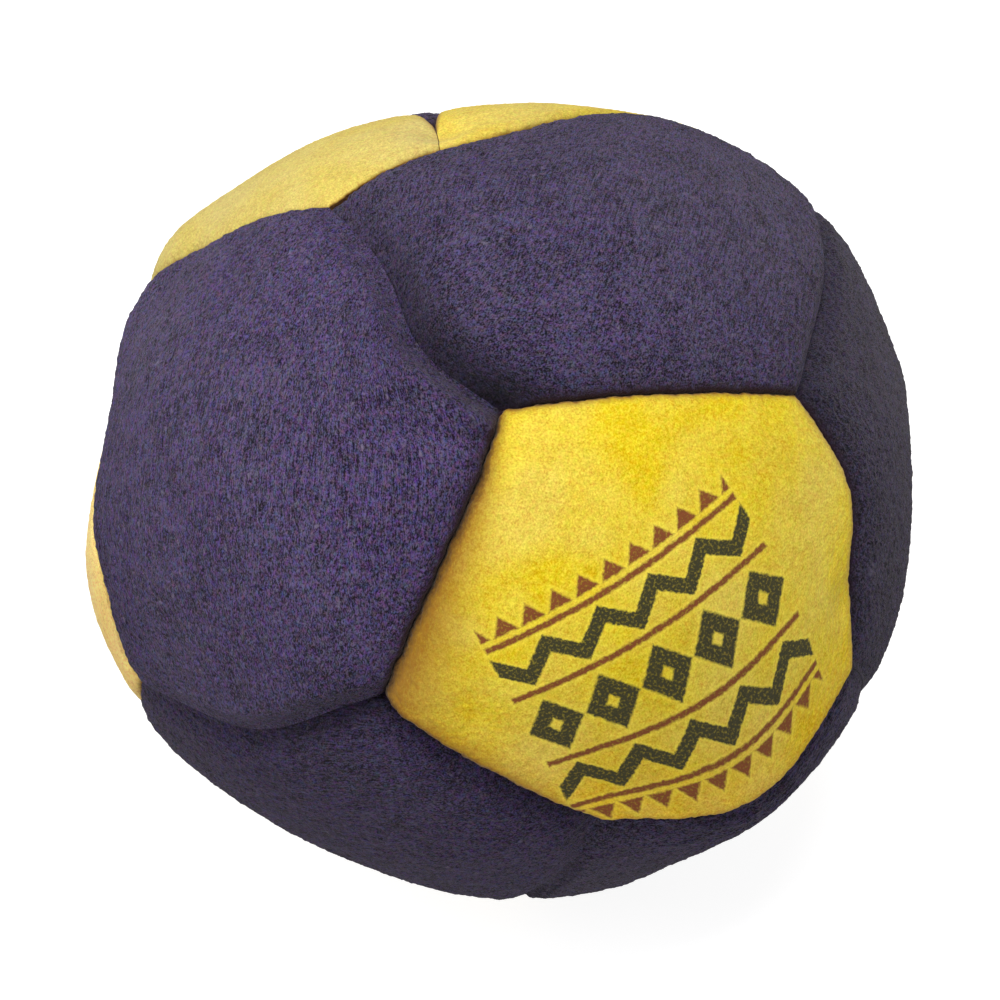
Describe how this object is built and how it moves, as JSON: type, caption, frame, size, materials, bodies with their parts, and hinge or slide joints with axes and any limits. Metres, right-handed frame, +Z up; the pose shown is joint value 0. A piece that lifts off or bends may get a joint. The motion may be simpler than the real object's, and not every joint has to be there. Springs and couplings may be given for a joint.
{
  "type": "footbag",
  "caption": "Soft round footbag of five-sided suede panels in navy and yellow, sewn edge to edge with turned-in seams round a loose pellet fill, with a small flat rest patch.",
  "frame": {"origin": "centre of the flat patch that the bag rests on", "axes": "+Z up from the rest patch, -Y towards the viewer's side with the large yellow panel, +X to the viewer's right"},
  "size_m": [0.0556, 0.0554, 0.0536],
  "materials": {
    "suede_navy": "short napped suede, matt",
    "suede_yellow": "short napped suede, matt",
    "thread": "twisted polyester sewing thread",
    "pellets": "moulded plastic pellets"
  },
  "bodies": {
    "root": {"panel_front": "suede_yellow", "panel_left": "suede_navy", "panel_top": "suede_navy", "panel_right": "suede_navy", "panel_lower_right": "suede_navy", "panel_lower_left": "suede_navy", "panel_back_upper_left": "suede_yellow", "panel_back_upper_right": "suede_yellow", "panel_back_left": "suede_yellow", "panel_back_right": "suede_yellow", "panel_base": "suede_yellow", "panel_back": "suede_navy", "thread_back_left_to_back": "thread", "thread_back_left_to_back_upper_left": "thread", "thread_back_left_to_base": "thread", "thread_back_right_to_back": "thread", "thread_back_upper_left_to_back": "thread", "thread_back_upper_left_to_back_upper_right": "thread", "thread_back_upper_right_to_back": "thread", "thread_back_upper_right_to_back_right": "thread", "thread_base_to_back": "thread", "thread_base_to_back_right": "thread", "thread_front_to_left": "thread", "thread_front_to_lower_left": "thread", "thread_front_to_lower_right": "thread", "thread_front_to_right": "thread", "thread_front_to_top": "thread", "thread_left_to_back_left": "thread", "thread_left_to_back_upper_left": "thread", "thread_left_to_top": "thread", "thread_lower_left_to_back_left": "thread", "thread_lower_left_to_base": "thread", "thread_lower_left_to_left": "thread", "thread_lower_right_to_back_right": "thread", "thread_lower_right_to_base": "thread", "thread_lower_right_to_lower_left": "thread", "thread_right_to_back_right": "thread", "thread_right_to_back_upper_right": "thread", "thread_right_to_lower_right": "thread", "thread_top_to_back_upper_left": "thread", "thread_top_to_back_upper_right": "thread", "thread_top_to_right": "thread", "pellet_fill": "pellets"}
  },
  "joints": []
}
